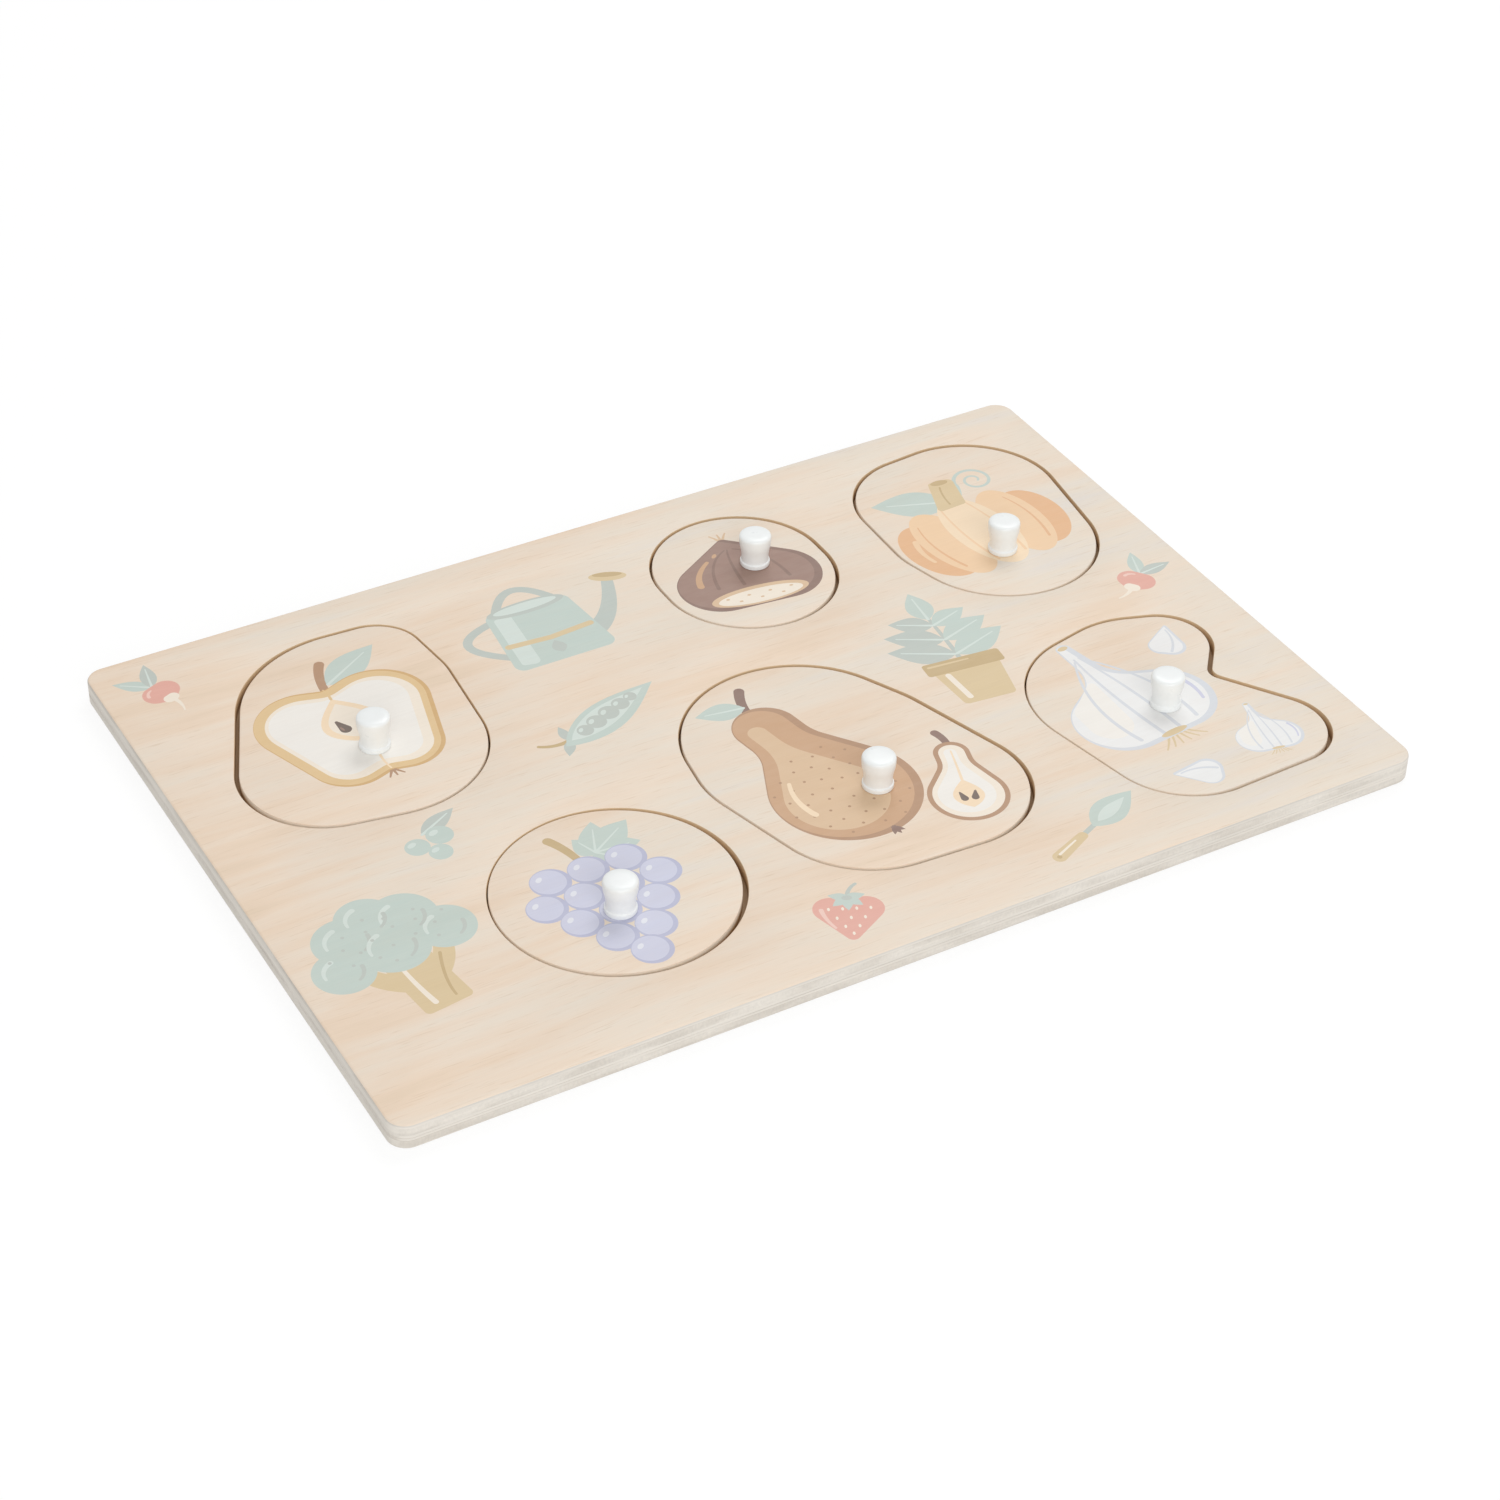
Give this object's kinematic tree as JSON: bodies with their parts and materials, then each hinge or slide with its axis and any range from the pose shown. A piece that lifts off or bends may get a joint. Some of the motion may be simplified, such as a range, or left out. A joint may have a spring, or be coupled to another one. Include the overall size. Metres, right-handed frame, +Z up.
{
  "type": "wooden peg puzzle",
  "caption": "Flat plywood toddler puzzle: a two-layer tray board with recesses, and loose printed pieces that lift out by white turned pegs.",
  "frame": {"origin": "under the middle of the board, on the face that it rests on", "axes": "+X along the board's long side to the right, +Y away from the person who plays, +Z up, the way the pegs point"},
  "size_m": [0.3, 0.205, 0.0177],
  "materials": {
    "printed_plywood": "sanded pale plywood, clear matt lacquer over a flat print, brown cut edges",
    "back_plywood": "plain sanded plywood, matt",
    "white_peg_paint": "turned wood under glossy white paint",
    "zinc_screw": "zinc-plated steel"
  },
  "bodies": {
    "board": {"base_board": "back_plywood", "tray_board": "printed_plywood"},
    "apple": {"apple_piece": "printed_plywood", "apple_peg": "white_peg_paint", "apple_screw": "zinc_screw"},
    "chestnut": {"chestnut_piece": "printed_plywood", "chestnut_peg": "white_peg_paint", "chestnut_screw": "zinc_screw"},
    "pumpkin": {"pumpkin_piece": "printed_plywood", "pumpkin_peg": "white_peg_paint", "pumpkin_screw": "zinc_screw"},
    "grape": {"grape_piece": "printed_plywood", "grape_peg": "white_peg_paint", "grape_screw": "zinc_screw"},
    "pear": {"pear_piece": "printed_plywood", "pear_peg": "white_peg_paint", "pear_screw": "zinc_screw"},
    "garlic": {"garlic_piece": "printed_plywood", "garlic_peg": "white_peg_paint", "garlic_screw": "zinc_screw"}
  },
  "joints": [
    {"name": "apple_lift", "type": "slide", "parent": "board", "child": "apple", "axis": [0, 0, 1], "range_m": [0, 0.04]},
    {"name": "chestnut_lift", "type": "slide", "parent": "board", "child": "chestnut", "axis": [0, 0, 1], "range_m": [0, 0.04]},
    {"name": "pumpkin_lift", "type": "slide", "parent": "board", "child": "pumpkin", "axis": [0, 0, 1], "range_m": [0, 0.04]},
    {"name": "grape_lift", "type": "slide", "parent": "board", "child": "grape", "axis": [0, 0, 1], "range_m": [0, 0.04]},
    {"name": "pear_lift", "type": "slide", "parent": "board", "child": "pear", "axis": [0, 0, 1], "range_m": [0, 0.04]},
    {"name": "garlic_lift", "type": "slide", "parent": "board", "child": "garlic", "axis": [0, 0, 1], "range_m": [0, 0.04]}
  ]
}
